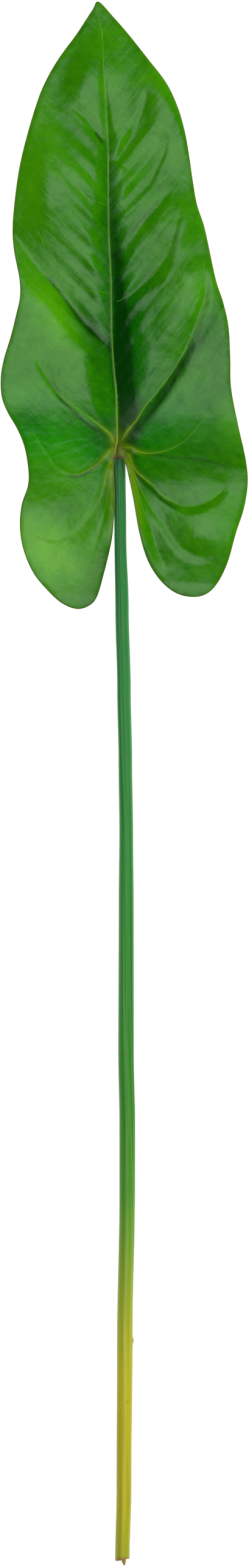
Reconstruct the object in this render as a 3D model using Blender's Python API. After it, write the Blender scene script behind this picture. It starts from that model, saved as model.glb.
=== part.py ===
"""An anthurium leaf on its cut stem, lying face up.

The blade is a long heart with two round lobes. Its veins lie sunk and its panels swell between them.
A hub under its middle holds the top of the stem, a channelled stalk that tapers and ends in a torn cut.

X runs across the blade, +Y from the cut end to the tip and +Z up. The leaf lies on Z = 0, on three low
places: the underside of each lobe and the end of the stem.
"""

import math

import bmesh
import bpy
import numpy as np
from mathutils import Vector
from mathutils.geometry import delaunay_2d_cdt

OVERALL_LENGTH = 0.8995      # metres, from the tip to the torn end
MM = OVERALL_LENGTH / 899.5  # one unit of every number below, all drawn in millimetres

BLADE_THICKNESS = 0.85
FIT_GAP = 0.3                # between the stem and the hub that holds it
SOCKET_END = 201.0           # how far up the blade the stem reaches
HUB_MOUTH = 187.4
HUB_END = 212.0
HUB_RADIUS = 4.9
HUB_END_RADIUS = 1.6
HUB_END_RISE = 2.2
HUB_CENTRE = (-3.5, 190)
HUB_HEIGHT = 8.6             # of the blade's underside there
HUB_BLEND = 6.0              # how far round the hub's centre that height reaches
STEM_SIDES = 24
STEM_RISE = 1.6              # how much higher the stem lies at the hub than at its cut end

RIM_STEP = 4.2               # spacing of the mesh along the blade's edge, along its veins and between them
VEIN_STEP = 4.5
PANEL_STEP = 4.9
HUB_STEP = 3.0
HUB_FINE_REACH = 15.0
HUB_CLEAR_REACH = 9.0        # no mesh edges run along the veins nearer the hub's centre than this
LINE_STEP = 3.0              # how finely a line is drawn when distances from it are measured

# The blade's edge, from the tip down the right side, round both lobes and up the left side.
OUTLINE = [
    (-15, 449.5), (-6.8, 441.1), (2.7, 430.1), (13.7, 416), (24.2, 402), (30.7, 388), (34.7, 374), (37.2, 360),
    (39.2, 346), (41.7, 332), (46.2, 318), (52.2, 290), (56.7, 276), (59.7, 262), (60.7, 244), (61.2, 227),
    (65.2, 206), (69.7, 186.5), (70.9, 173), (68.7, 158.5), (64.2, 144.5), (59.2, 127), (53.1, 115), (46, 108.8),
    (37, 107.8), (28, 110.8), (19.5, 118.5), (13, 129.5), (8.5, 144.5), (5, 164), (2.5, 176), (0.5, 184),
    (-2, 187), (-5, 187), (-6.5, 185), (-6, 176), (-5.4, 165.5), (-6, 154), (-7.5, 139.5), (-12, 120.5),
    (-16, 107.5), (-21, 102.3), (-28, 100.8), (-36.6, 104.4), (-45.2, 112.4), (-52.7, 121.9), (-58.2, 135),
    (-60.2, 148), (-59.2, 160.5), (-55.7, 171), (-55.2, 179.5), (-57.2, 192.5), (-61.2, 203), (-67.2, 213.5),
    (-70.5, 222.5), (-70.9, 234), (-69, 244.5), (-65.2, 257), (-62.1, 269.5), (-60, 279.5), (-60.3, 290),
    (-63.3, 305.5), (-64.3, 318), (-63.3, 332), (-60.8, 351), (-57.3, 367), (-51.3, 388), (-46, 402),
    (-38.2, 416), (-27.7, 430.5), (-18.6, 444.5),
]
MIDRIB = [
    (-16.5, 446.5), (-13, 430.5), (-12, 409), (-10.5, 386), (-9.5, 364.5), (-9.5, 343), (-9, 316), (-8, 296),
    (-7.5, 278.5), (-7.2, 258), (-6.5, 242.5), (-5, 226.5), (-4.5, 213.5), (-4.2, 199),
]
# The midrib's trough, by place along Y: how far it reaches to the left and to the right, and how steeply it
# rises to the right.
MIDRIB_TROUGH = [
    (449, 1, 1, 0.06), (425, 2, 2, 0.15), (400, 3, 2.5, 0.3), (381, 4, 3, 0.34), (365, 6, 7, 0.28),
    (346, 7, 8, 0.3), (330, 8, 11, 0.28), (311, 10, 13, 0.27), (290, 11, 14, 0.29), (262, 14, 17, 0.33),
    (234, 16, 21, 0.32), (218, 14, 19, 0.3), (206, 11, 16, 0.25), (196, 9, 12, 0.2),
]
# The other veins, from the hub or the midrib outwards. Each is a path, how far its trough reaches on the
# left hand of that path and on the right hand, each at its start and its end, and how steep the shorter side is.
VEINS = {
    "left shoulder": (
        [(-8, 251), (-13.5, 255), (-18.5, 260), (-24, 265.5), (-29.5, 274), (-33.5, 279), (-37.5, 284.5),
         (-41.5, 288.5), (-49, 296), (-60, 311), (-74, 332)], (12, 13), (28, 24), 0.34),
    "left basal": (
        [(-6.5, 197), (-8, 200.5), (-11.5, 203.5), (-17.5, 208.5), (-28, 216), (-37, 222.5), (-43.5, 232),
         (-49.5, 241.5), (-52.5, 247)], (2.5, 3), (10, 8), 0.34),
    "left lateral": (
        [(-6.5, 192.5), (-10.5, 189), (-14.5, 185), (-20, 181), (-25.5, 178.5), (-30, 178), (-35, 180),
         (-40, 183.5), (-46.5, 193), (-52.5, 201)], (1.5, 1), (1.5, 1), 0.2),
    "left secondary": (
        [(-8.5, 281), (-13.5, 282.5), (-21.5, 283.5), (-28, 286), (-36, 290), (-39, 293), (-44.5, 304),
         (-49.5, 317.5), (-53.5, 324)], (1, 4), (1, 10), 0.2),
    "left upper": (
        [(-10, 332), (-14.5, 333.5), (-20, 335.5), (-25.5, 339.5), (-32, 345.5), (-39, 356.5), (-42.5, 367),
         (-44.5, 378)], (1, 1.5), (1, 1.5), 0.15),
    "upper left": (
        [(-10, 367), (-16, 373), (-19.5, 377.5), (-22, 382), (-26, 385.5), (-31, 389)], (3, 2), (8, 4), 0.34),
    "left lobe 1": (
        [(-8, 185), (-10.5, 178), (-13, 167.5), (-17.5, 158), (-23, 150), (-29.5, 142), (-33.5, 140),
         (-38.5, 138), (-44.5, 139), (-51, 143)], (8, 4), (4, 1.5), 0.25),
    "left lobe 2": (
        [(-7, 182), (-8.5, 171.5), (-10.5, 160.5), (-14, 147), (-17.5, 135), (-20, 126), (-22, 120)],
        (2, 2), (2, 1), 0.2),
    "right secondary": (
        [(-7, 275.5), (1, 279.5), (8, 284.5), (15, 290.5), (21.5, 298.5), (25.5, 306.5), (29.5, 320),
         (32.5, 332.5)], (20, 8), (8, 3), 0.3),
    "right furrow low": (
        [(-6, 303.5), (-1, 308), (7, 317.5), (15, 326.5), (21.5, 333.5), (27, 342)], (12, 5), (5, 2), 0.34),
    "right furrow high": (
        [(-7.5, 321), (-4, 325.5), (2, 331), (8, 337.5), (15, 345.5), (17.5, 351), (21.5, 359.5), (25.5, 374)],
        (10, 5), (3.5, 2), 0.32),
    "upper right": (
        [(-6.5, 355), (-2.5, 360.5), (0, 364.5), (4, 372.5), (9.5, 383.5), (12, 392), (13, 399)],
        (5, 3), (8, 8), 0.36),
    "right basal": (
        [(0.5, 200.5), (2, 203), (7, 209), (12, 217), (16.5, 222), (23, 230.5), (29, 239), (36, 252),
         (42.5, 268.5), (46.5, 282.5), (45, 300)], (20, 8), (9, 3), 0.34),
    "right lateral": (
        [(1, 193.5), (4, 193), (8, 191), (13.5, 190), (21.5, 191), (28.5, 193.5), (35, 197.5), (40.5, 203.5),
         (47.5, 212.5)], (2, 1.5), (2, 1), 0.25),
    "right fold": (
        [(9.5, 189), (28.5, 188.5), (44.5, 189), (55, 185), (66, 182), (76, 179)], (7, 6), (7, 6), 0.1),
    "right lobe 1": (
        [(2.5, 189), (4, 184.5), (7, 179.5), (11, 176), (16.5, 171.5), (21.5, 166), (28.5, 162), (36.5, 159.5),
         (46, 161.5), (52.5, 165.5), (58, 171.5), (61.5, 177)], (15, 15), (6, 4), 0.34),
    "right lobe 2": (
        [(4.5, 181), (8, 172.5), (12, 164.5), (16.5, 156.5), (23, 148.5), (29.5, 139), (35, 134), (43, 131),
         (54, 132)], (12, 12), (5, 5), 0.28),
    "right lobe 3": (
        [(4, 179.5), (7, 170), (11, 156.5), (15, 147), (17.5, 139), (20.5, 131), (26, 121)], (8, 8), (5, 5), 0.28),
}
MESHED_VEINS = (
    "left shoulder", "left basal", "left lateral", "upper left", "left lobe 1", "right secondary",
    "right furrow low", "right furrow high", "upper right", "right basal", "right lateral", "right fold",
    "right lobe 1", "right lobe 2", "right lobe 3",
)
VEIN_STARTS = 0.06           # shares of a vein's length over which its trough begins and ends
VEIN_ENDS = 0.15
MIDRIB_STOPS = (168, 198)    # the midrib's trough ends between these places along Y

# Where the blade swells: the crest, the way its steep flank faces in degrees (0 is +X, 90 is +Y), the reach
# of its steep and gentle flanks, half its length, and the steepness.
SWELLS = {
    "left roll": ((-42, 346), 180, 15, 40, 30, 0.40),
    "tip": ((-20, 407), 160, 10.5, 15.5, 22, 0.40),
    "right roll": ((22, 392), 25, 10, 18, 24, 0.44),
    "right ridge": ((30, 318), -35, 12, 16, 18, 0.36),
    "right shoulder": ((40, 290), 90, 12, 20, 16, 0.3),
    "right cheek": ((30, 262), 60, 14, 14, 14, 0.2),
    "left lap": ((-8, 150), 180, 22, 22, 22, 0.17),
    "right lap": ((3, 165), 0, 9, 9, 24, 0.3),
    "right lobe": ((48, 146), -60, 20, 26, 22, 0.2),
}
# How high the blade's underside lies before its veins and swells, by place along Y, on each side of the midrib.
LIE_LEFT = [
    (98, -1), (104, -0.6), (118, 0.9), (135, 1.4), (152, 1.2), (162, 2.4), (176, 6.2), (192, 10.8), (206, 14.8),
    (216, 17), (226, 17.8), (240, 17.8), (260, 17.4), (300, 16.4), (380, 14.5), (440, 11), (460, 10),
]
LIE_RIGHT = [
    (98, -1.8), (106, -1.5), (114, -0.6), (124, 0.8), (140, 2.5), (160, 3), (172, 3.8), (180, 6), (188, 9.6),
    (196, 13), (204, 15.8), (214, 17.6), (236, 18.6), (260, 18.6), (300, 17.8), (380, 15.5), (440, 11), (460, 10),
]
LIE_BLEND = 10               # how far from the midrib the two sides blend

# Shallow side ribs run out from the midrib like a fishbone: spacing, height, how far out they reach, how fast
# they climb towards the tip on the right and on the left, and where they begin and end along the midrib.
RIB_SPACING = 14.4
RIB_HEIGHT = 0.6
RIB_REACH = 20
RIB_CLIMB = (1.15, 1.0)
RIB_STRETCH = (227, 370)
RIB_FADE = 21

# The stem's centre line and radius, and its channel's place round it (0 is +X, 90 is up) and depth, by place
# along Y.
STEM = [
    (201, -3.6, 3.55), (186, -3.1, 3.65), (143, -2.4, 3.45), (101, -1.4, 3.9), (55, -0.3, 3.95), (13, 0.5, 3.95),
    (-28, 1, 4), (-70, 1, 4.35), (-154, 0.9, 4.5), (-196, 1.6, 4.55), (-238, 1.6, 4.55), (-322, 0.2, 4.55),
    (-406, -0.3, 4.35), (-446, -1.2, 4.2),
]
CHANNEL = [
    (201, 112, 0.45), (136, 110, 0.5), (30, 104, 0.55), (-40, 85, 0.5), (-110, 76, 0.5), (-180, 58, 0.45),
    (-285, 5, 0.3), (-330, -20, 0), (-446, -20, 0),
]
CHANNEL_WIDTH = 26           # degrees, from its middle to its lip
STEM_STEP = 14.0
CUT_SLANT = 0.13             # how much further the cut end reaches on its left side, per millimetre across
CUT_ROUGHNESS = 0.5
BUMP_AT = (-320.0, 0.0)      # place along Y, and degrees round the stem
BUMP_SIZE = (0.9, 1.7, 1.1)
SLIVER = [(-443.0, 2.6), (-447.0, 2.4), (-449.5, 0.9)]  # place along Y and width of the torn strip
SLIVER_X = -0.8
SLIVER_THICKNESS = 0.9
SLIVER_HEIGHT = 1.2          # above the stem's centre


def softened(t):
    t = np.clip(t, 0, 1)
    return t * t * (3 - 2 * t)


def eased(at, rows, column):
    """The value of a column at each place along Y, moving softly from row to row."""
    rows = sorted(rows)
    places = [row[0] for row in rows]
    values = np.array([row[column] for row in rows], float)
    step = np.interp(at, places, np.arange(len(rows)))
    low = np.clip(np.floor(step).astype(int), 0, len(rows) - 2)
    return values[low] + (values[low + 1] - values[low]) * softened(step - low)


def smooth_line(points, step, closed=False):
    """Points about one step apart on a smooth curve through the points given."""
    given = np.array(points, float)
    before, after = 2 * given[:1] - given[1:2], 2 * given[-1:] - given[-2:-1]
    ends = (given[-1:], given[:2]) if closed else (before, after)
    p = np.vstack([ends[0], given, ends[1]])
    fine = []
    for a, b, c, d in zip(p[:-3], p[1:-2], p[2:-1], p[3:]):
        t = np.linspace(0, 1, 12, endpoint=False)[:, None]
        bend = (2 * a - 5 * b + 4 * c - d) * t**2 + (3 * b - a - 3 * c + d) * t**3
        fine.append(b + 0.5 * ((c - a) * t + bend))
    fine.append(given[:1] if closed else given[-1:])
    fine = np.vstack(fine)
    run = np.concatenate([[0], np.cumsum(np.hypot(*np.diff(fine, axis=0).T))])
    count = max(2, round(run[-1] / step))
    stops = np.linspace(0, run[-1], count + 1)[: count if closed else None]
    return np.column_stack([np.interp(stops, run, fine[:, 0]), np.interp(stops, run, fine[:, 1])])


def nearest(xy, line):
    """Each point's distance from the line, + on the right hand of its direction, and how far along it lies, 0 to 1."""
    best = np.full(len(xy), np.inf)
    side = np.ones(len(xy))
    along = np.zeros(len(xy))
    for i, (a, b) in enumerate(zip(line[:-1], line[1:])):
        d = b - a
        t = np.clip(((xy - a) @ d) / (d @ d), 0, 1)
        off = xy - a - t[:, None] * d
        far = np.hypot(*off.T)
        near = far < best
        best[near] = far[near]
        side[near] = np.where(off[:, 0] * d[1] - off[:, 1] * d[0] < 0, -1, 1)[near]
        along[near] = ((i + t) / (len(line) - 1))[near]
    return best * side, along


def from_hub(xy):
    return np.hypot(xy[:, 0] - HUB_CENTRE[0], xy[:, 1] - HUB_CENTRE[1])


def nearness(t):
    """1 on a vein, falling evenly to 0 at t = 1, with both corners rounded."""
    t = np.sqrt(t * t + 0.0008)
    return 0.5 * (1 - t + np.sqrt((1 - t) ** 2 + 0.03))


def vein_depth(xy):
    """How deep the veins pull the blade down, joined softly where they meet."""
    join = 3.0
    away, _ = nearest(xy, smooth_line(MIDRIB, LINE_STEP))
    left, right, steep = (eased(xy[:, 1], MIDRIB_TROUGH, column) for column in (1, 2, 3))
    # The midrib is drawn from the tip down, so its right hand is the leaf's left.
    trough = steep * right * nearness(np.abs(away) / np.where(away > 0, left, right))
    start, stop = MIDRIB_STOPS
    total = (trough * softened((xy[:, 1] - start) / (stop - start))) ** join
    for path, lefts, rights, steep in VEINS.values():
        away, along = nearest(xy, smooth_line(path, LINE_STEP))
        left, right = (first + (last - first) * along for first, last in (lefts, rights))
        trough = steep * np.minimum(left, right) * nearness(np.abs(away) / np.where(away < 0, left, right))
        total += (trough * softened(along / VEIN_STARTS) * softened((1 - along) / VEIN_ENDS)) ** join
    return total ** (1 / join)


def swell(xy, crest, faces, steep_reach, gentle_reach, half_length, steepness):
    turn = math.radians(faces)
    x, y = xy[:, 0] - crest[0], xy[:, 1] - crest[1]
    across = x * math.cos(turn) + y * math.sin(turn)
    along = y * math.cos(turn) - x * math.sin(turn)
    reach = np.where(across > 0, steep_reach, gentle_reach)
    # A bell curve of this height is as steep as stated at its steepest place.
    height = steepness * steep_reach * math.sqrt(math.e / 2)
    return height * np.exp(-((across / reach) ** 2) - (along / half_length) ** 2)


def ribs(xy):
    """The side ribs: ripples in the place where a rib's line leaves the midrib."""
    away, _ = nearest(xy, smooth_line(MIDRIB, LINE_STEP))
    out = np.abs(away)
    foot = xy[:, 1] - np.where(away > 0, RIB_CLIMB[1], RIB_CLIMB[0]) * out
    fade = softened((out - 2) / 12) * np.exp(-((out / RIB_REACH) ** 2))
    stretch = softened((foot - RIB_STRETCH[0]) / RIB_FADE) * softened((RIB_STRETCH[1] - foot) / RIB_FADE)
    return RIB_HEIGHT * np.cos(2 * math.pi * foot / RIB_SPACING) * fade * stretch


def lie(xy):
    left, right = (np.interp(xy[:, 1], *smooth_line(rows, 2.0).T) for rows in (LIE_LEFT, LIE_RIGHT))
    midrib_x = np.interp(xy[:, 1], *smooth_line(MIDRIB, LINE_STEP)[::-1].T[::-1])
    side = softened((xy[:, 0] - midrib_x + LIE_BLEND) / (2 * LIE_BLEND))
    return left + (right - left) * side


def underside(xy):
    """The height of the blade's underside, which lies flat where it would sink below the surface."""
    z = lie(xy) - vein_depth(xy) + ribs(xy)
    for place in SWELLS.values():
        z = z + swell(xy, *place)
    hub = np.exp(-((from_hub(xy) / HUB_BLEND) ** 2))
    return np.maximum(z + (HUB_HEIGHT - z) * hub, 0)


def grid(low, high, step):
    """Rows of points, each row shifted by half a step, so that they make even triangles."""
    rows = []
    for n, y in enumerate(np.arange(low[1], high[1], step * math.sqrt(3) / 2)):
        x = np.arange(low[0] + (n % 2) * step / 2, high[0], step)
        rows.append(np.column_stack([x, np.full(len(x), y)]))
    return np.vstack(rows)


def is_inside(xy, ring):
    """Whether each point is inside the ring, by counting the sides that a line to its right crosses."""
    inside = np.zeros(len(xy), bool)
    for a, b in zip(ring, np.roll(ring, -1, axis=0)):
        if a[1] == b[1]:
            continue
        spans = (a[1] > xy[:, 1]) != (b[1] > xy[:, 1])
        cross = (b[0] - a[0]) * (xy[:, 1] - a[1]) / (b[1] - a[1]) + a[0]
        inside ^= spans & (xy[:, 0] < cross)
    return inside


def clear_of(xy, others, reach):
    gaps = np.hypot(xy[:, None, 0] - others[None, :, 0], xy[:, None, 1] - others[None, :, 1])
    return gaps.min(axis=1) > reach


def blade_triangles():
    """Points and triangles of the blade seen from above, with mesh edges along its veins."""
    rim = smooth_line(OUTLINE, RIM_STEP, closed=True)
    edges = [(i, (i + 1) % len(rim)) for i in range(len(rim))]
    fixed = rim
    for path in [MIDRIB] + [VEINS[name][0] for name in MESHED_VEINS]:
        line = smooth_line(path, VEIN_STEP)
        line = line[is_inside(line, rim) & (from_hub(line) > HUB_CLEAR_REACH)]
        line = line[clear_of(line, fixed, 0.5 * VEIN_STEP)]
        joined = np.hypot(*np.diff(line, axis=0).T) < 1.5 * VEIN_STEP
        edges += [(len(fixed) + i, len(fixed) + i + 1) for i in np.flatnonzero(joined)]
        fixed = np.vstack([fixed, line])
    points = [fixed]
    for step, near_hub in ((HUB_STEP, True), (PANEL_STEP, False)):
        loose = grid(rim.min(axis=0), rim.max(axis=0), step)
        loose = loose[(from_hub(loose) < HUB_FINE_REACH) == near_hub]
        points.append(loose[is_inside(loose, rim) & clear_of(loose, fixed, 0.62 * step)])
    every = [Vector(p) for p in np.vstack(points)]
    corners, _, faces, *_ = delaunay_2d_cdt(every, edges, [], 0, 1e-4, False)
    xy = np.array([tuple(p) for p in corners])
    middles = np.array([xy[list(face)].mean(axis=0) for face in faces])
    return xy, [tuple(face) for face, within in zip(faces, is_inside(middles, rim)) if within]


def new_object(name, mesh_data, material=None):
    mesh = bpy.data.meshes.new(name)
    mesh_data.to_mesh(mesh)
    mesh_data.free()
    if material:
        mesh.materials.append(material)
    obj = bpy.data.objects.new(name, mesh)
    bpy.context.scene.collection.objects.link(obj)
    return obj


def plain_material(name, colour, roughness):
    material = bpy.data.materials.new(name)
    material.use_nodes = True
    surface = material.node_tree.nodes["Principled BSDF"]
    surface.inputs["Base Color"].default_value = (*colour, 1)
    surface.inputs["Roughness"].default_value = roughness
    surface.inputs["Metallic"].default_value = 0
    return material


def blade_mesh():
    """The blade as one closed skin: the same triangles above and below, joined round the edge."""
    xy, faces = blade_triangles()
    low = underside(xy)
    bm = bmesh.new()
    under = [bm.verts.new((x * MM, y * MM, z * MM)) for (x, y), z in zip(xy, low)]
    over = [bm.verts.new((x * MM, y * MM, (z + BLADE_THICKNESS) * MM)) for (x, y), z in zip(xy, low)]
    sides = {(a, b) for face in faces for a, b in zip(face, face[1:] + face[:1])}
    for face in faces:
        bm.faces.new([over[i] for i in face])
        bm.faces.new([under[i] for i in reversed(face)])
    for a, b in sorted(sides):
        if (b, a) not in sides:
            bm.faces.new([over[b], over[a], under[a], under[b]])
    return bm


def stem_height(y):
    """The height of the stem's centre: its lowest side lies flat at the cut end and rises towards the hub."""
    rise = STEM_RISE * softened((np.asarray(y, float) + 400) / 600)
    return eased(y, STEM, 2) * math.cos(math.pi / STEM_SIDES) + rise


def skin(rings):
    """A closed skin over a row of rings of points, the first and last filled flat."""
    bm = bmesh.new()
    loops = [[bm.verts.new((x * MM, y * MM, z * MM)) for x, y, z in ring] for ring in rings]
    for first, second in zip(loops, loops[1:]):
        for i in range(len(first)):
            j = (i + 1) % len(first)
            bm.faces.new([first[i], first[j], second[j], second[i]])
    bm.faces.new(list(reversed(loops[0])))
    bm.faces.new(loops[-1])
    bmesh.ops.recalc_face_normals(bm, faces=bm.faces)
    bmesh.ops.triangulate(bm, faces=bm.faces)
    return bm


def stem_ring(y, gap=0.0, channel=True):
    """One ring of the stem, `gap` wider than it, with the channel pressed into it."""
    turns = (np.arange(STEM_SIDES) + 0.5) / STEM_SIDES * 2 * math.pi - math.pi / 2
    centre, radius = float(eased(y, STEM, 1)), float(eased(y, STEM, 2)) + gap
    radii = np.full(STEM_SIDES, radius)
    if channel:
        middle, depth = float(eased(y, CHANNEL, 1)), float(eased(y, CHANNEL, 2))
        off = (np.degrees(turns) - middle + 180) % 360 - 180
        radii = radii - depth * np.exp(-((off / CHANNEL_WIDTH) ** 2))
    height = float(stem_height(y))
    return [(centre + r * math.cos(t), y, height + r * math.sin(t)) for r, t in zip(radii, turns)]


def stem_mesh():
    places = np.linspace(SOCKET_END, STEM[-1][0], round((SOCKET_END - STEM[-1][0]) / STEM_STEP) + 1)
    rings = [stem_ring(y) for y in places]
    last_x = STEM[-1][1]
    rings[-1] = [(x, y + CUT_SLANT * (x - last_x) - CUT_ROUGHNESS * math.sin(2.6 * x + z), z)
                 for x, y, z in rings[-1]]
    return skin(rings)


def bump_mesh():
    """The small scar that stands out of the stem's side."""
    y, turn = BUMP_AT[0], math.radians(BUMP_AT[1])
    centre, radius, height = float(eased(y, STEM, 1)), float(eased(y, STEM, 2)), float(stem_height(y))
    at = Vector((centre + radius * math.cos(turn), y, height + radius * math.sin(turn)))
    bm = bmesh.new()
    bmesh.ops.create_icosphere(bm, subdivisions=2, radius=1)
    bmesh.ops.scale(bm, vec=BUMP_SIZE, verts=bm.verts)
    bmesh.ops.translate(bm, vec=at, verts=bm.verts)
    bmesh.ops.scale(bm, vec=(MM, MM, MM), verts=bm.verts)
    return bm


def sliver_mesh():
    """The strip of skin that tore loose at the cut and hangs past it."""
    height = float(stem_height(SLIVER[0][0])) + SLIVER_HEIGHT
    rings = []
    for y, width in SLIVER:
        left, right = SLIVER_X - width / 2, SLIVER_X + width / 2
        low, high = height - SLIVER_THICKNESS / 2, height + SLIVER_THICKNESS / 2
        rings.append([(left, y, low), (right, y, low), (right, y, high), (left, y, high)])
    return skin(rings)


def hub_mesh():
    """The sleeve under the blade's middle, which narrows up into the midrib."""
    rings = []
    for y in np.linspace(HUB_MOUTH, HUB_END, 9):
        t = float(softened((y - SOCKET_END + 4) / (HUB_END - SOCKET_END + 4)))
        radius = HUB_RADIUS + (HUB_END_RADIUS - HUB_RADIUS) * t
        height = float(stem_height(SOCKET_END)) + HUB_END_RISE * t
        centre = float(eased(min(y, SOCKET_END), STEM, 1))
        turns = np.arange(20) / 20 * 2 * math.pi
        rings.append([(centre + radius * math.cos(a), y, height + radius * math.sin(a)) for a in turns])
    return skin(rings)


def stem_space_mesh():
    """What is kept clear for the stem: its own round form, the fit gap wider, past the end of the blade's lap."""
    places = np.linspace(SOCKET_END + FIT_GAP, 96, 10)
    return skin([stem_ring(y, FIT_GAP / math.cos(math.pi / STEM_SIDES), channel=False) for y in places])


def combine(obj, other, operation):
    other.hide_render = True
    other.display_type = "WIRE"
    boolean = obj.modifiers.new(other.name, "BOOLEAN")
    boolean.operation = operation
    boolean.object = other


def main():
    for obj in list(bpy.data.objects):
        bpy.data.objects.remove(obj)
    leaf_green = plain_material("leaf_green", (0.02, 0.16, 0.015), 0.35)
    stem_green = plain_material("stem_green", (0.06, 0.22, 0.07), 0.4)
    blade = new_object("blade", blade_mesh(), leaf_green)
    combine(blade, new_object("hub_form", hub_mesh()), "UNION")
    combine(blade, new_object("stem_space", stem_space_mesh()), "DIFFERENCE")
    stem = new_object("stem", stem_mesh(), stem_green)
    combine(stem, new_object("bump_form", bump_mesh()), "UNION")
    combine(stem, new_object("sliver_form", sliver_mesh()), "UNION")
    for obj in (blade, stem):
        obj.data.shade_smooth()
        obj.data.set_sharp_from_angle(angle=math.radians(40))


main()
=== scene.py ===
# %% [markdown]
# A florist's anthurium leaf, laid face up on a pale surface and seen from straight above. The real leaf is
# two things: a thin glossy blade, sunk along its veins and swollen between them, and a channelled stem that
# plugs into the hub under the blade's middle. Both are drawn in millimetres and turned into metres.

# %% Load the frame
import math

import bpy
import numpy as np
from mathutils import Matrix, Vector, kdtree
from mathutils.geometry import delaunay_2d_cdt


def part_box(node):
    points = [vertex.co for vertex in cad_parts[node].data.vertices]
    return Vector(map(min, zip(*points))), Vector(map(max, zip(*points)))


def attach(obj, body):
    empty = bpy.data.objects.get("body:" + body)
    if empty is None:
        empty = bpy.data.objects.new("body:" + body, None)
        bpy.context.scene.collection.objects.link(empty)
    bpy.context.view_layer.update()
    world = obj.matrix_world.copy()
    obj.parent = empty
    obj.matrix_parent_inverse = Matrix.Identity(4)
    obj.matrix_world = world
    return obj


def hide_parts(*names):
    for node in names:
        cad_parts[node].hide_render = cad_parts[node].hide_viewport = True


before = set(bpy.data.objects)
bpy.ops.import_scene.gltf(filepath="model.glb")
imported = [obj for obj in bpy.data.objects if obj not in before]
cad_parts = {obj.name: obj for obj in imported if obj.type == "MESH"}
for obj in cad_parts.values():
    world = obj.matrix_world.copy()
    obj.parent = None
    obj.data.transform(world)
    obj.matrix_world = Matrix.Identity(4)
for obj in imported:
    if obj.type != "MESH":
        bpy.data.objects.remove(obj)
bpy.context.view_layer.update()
blade_low, blade_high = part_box("blade")
stem_low, stem_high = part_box("stem")
MM = (blade_high.y - stem_low.y) / 899.5  # one unit of the drawings below
print("blade", [round(v, 4) for v in blade_high - blade_low])
print("stem", [round(v, 4) for v in stem_high - stem_low])

# %% [markdown]
# The leaf is drawn as a botanist would: the edge first, then the midrib, then every vein from the hub
# outwards. A vein is a path with the reach and the steepness of the trough that it lies in, so one list gives
# both the lines that are seen and the relief. A swelling is a bell curve with one steep and one gentle flank.

# %% The edge and the veins, in millimetres
OUTLINE = [
    (-15, 449.5), (-6.8, 441.1), (2.7, 430.1), (13.7, 416), (24.2, 402), (30.7, 388),
    (34.7, 374), (37.2, 360), (39.2, 346), (41.7, 332), (46.2, 318), (52.2, 290),
    (56.7, 276), (59.7, 262), (60.7, 244), (61.2, 227), (65.2, 206), (69.7, 186.5),
    (70.9, 173), (68.7, 158.5), (64.2, 144.5), (59.2, 127), (53.1, 115), (46, 108.8),
    (37, 107.8), (28, 110.8), (19.5, 118.5), (13, 129.5), (8.5, 144.5), (5, 164), (2.5, 176), (0.5, 184),
    (-2, 187), (-5, 187), (-6.5, 185), (-6, 176), (-5.4, 165.5), (-6, 154), (-7.5, 139.5), (-12, 120.5),
    (-16, 107.5), (-21, 102.3), (-28, 100.8), (-36.6, 104.4), (-45.2, 112.4), (-52.7, 121.9), (-58.2, 135),
    (-60.2, 148), (-59.2, 160.5), (-55.7, 171), (-55.2, 179.5), (-57.2, 192.5), (-61.2, 203), (-67.2, 213.5),
    (-70.5, 222.5), (-70.9, 234), (-69, 244.5), (-65.2, 257), (-62.1, 269.5), (-60, 279.5), (-60.3, 290),
    (-63.3, 305.5), (-64.3, 318), (-63.3, 332), (-60.8, 351), (-57.3, 367), (-51.3, 388), (-46, 402),
    (-38.2, 416), (-27.7, 430.5), (-18.6, 444.5),
]
MIDRIB = [
    (-16.5, 446.5), (-13, 430.5), (-12, 409), (-10.5, 386), (-9.5, 364.5), (-9.5, 343), (-9, 316), (-8, 296),
    (-7.5, 278.5), (-7.2, 258), (-6.5, 242.5), (-5, 226.5), (-4.5, 213.5), (-4.2, 199),
]
# The midrib's trough, by place along Y: how far it reaches to the left and to the right, and how steeply it
# rises to the right.
MIDRIB_TROUGH = [
    (449, 1, 1, 0.06), (425, 2, 2, 0.15), (400, 3, 2.5, 0.3), (381, 4, 3, 0.34), (365, 6, 7, 0.28),
    (346, 7, 8, 0.3), (330, 8, 11, 0.28), (311, 10, 13, 0.27), (290, 11, 14, 0.29), (262, 14, 17, 0.33),
    (234, 16, 21, 0.32), (218, 14, 19, 0.3), (206, 11, 16, 0.25), (196, 9, 12, 0.2),
]
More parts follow.
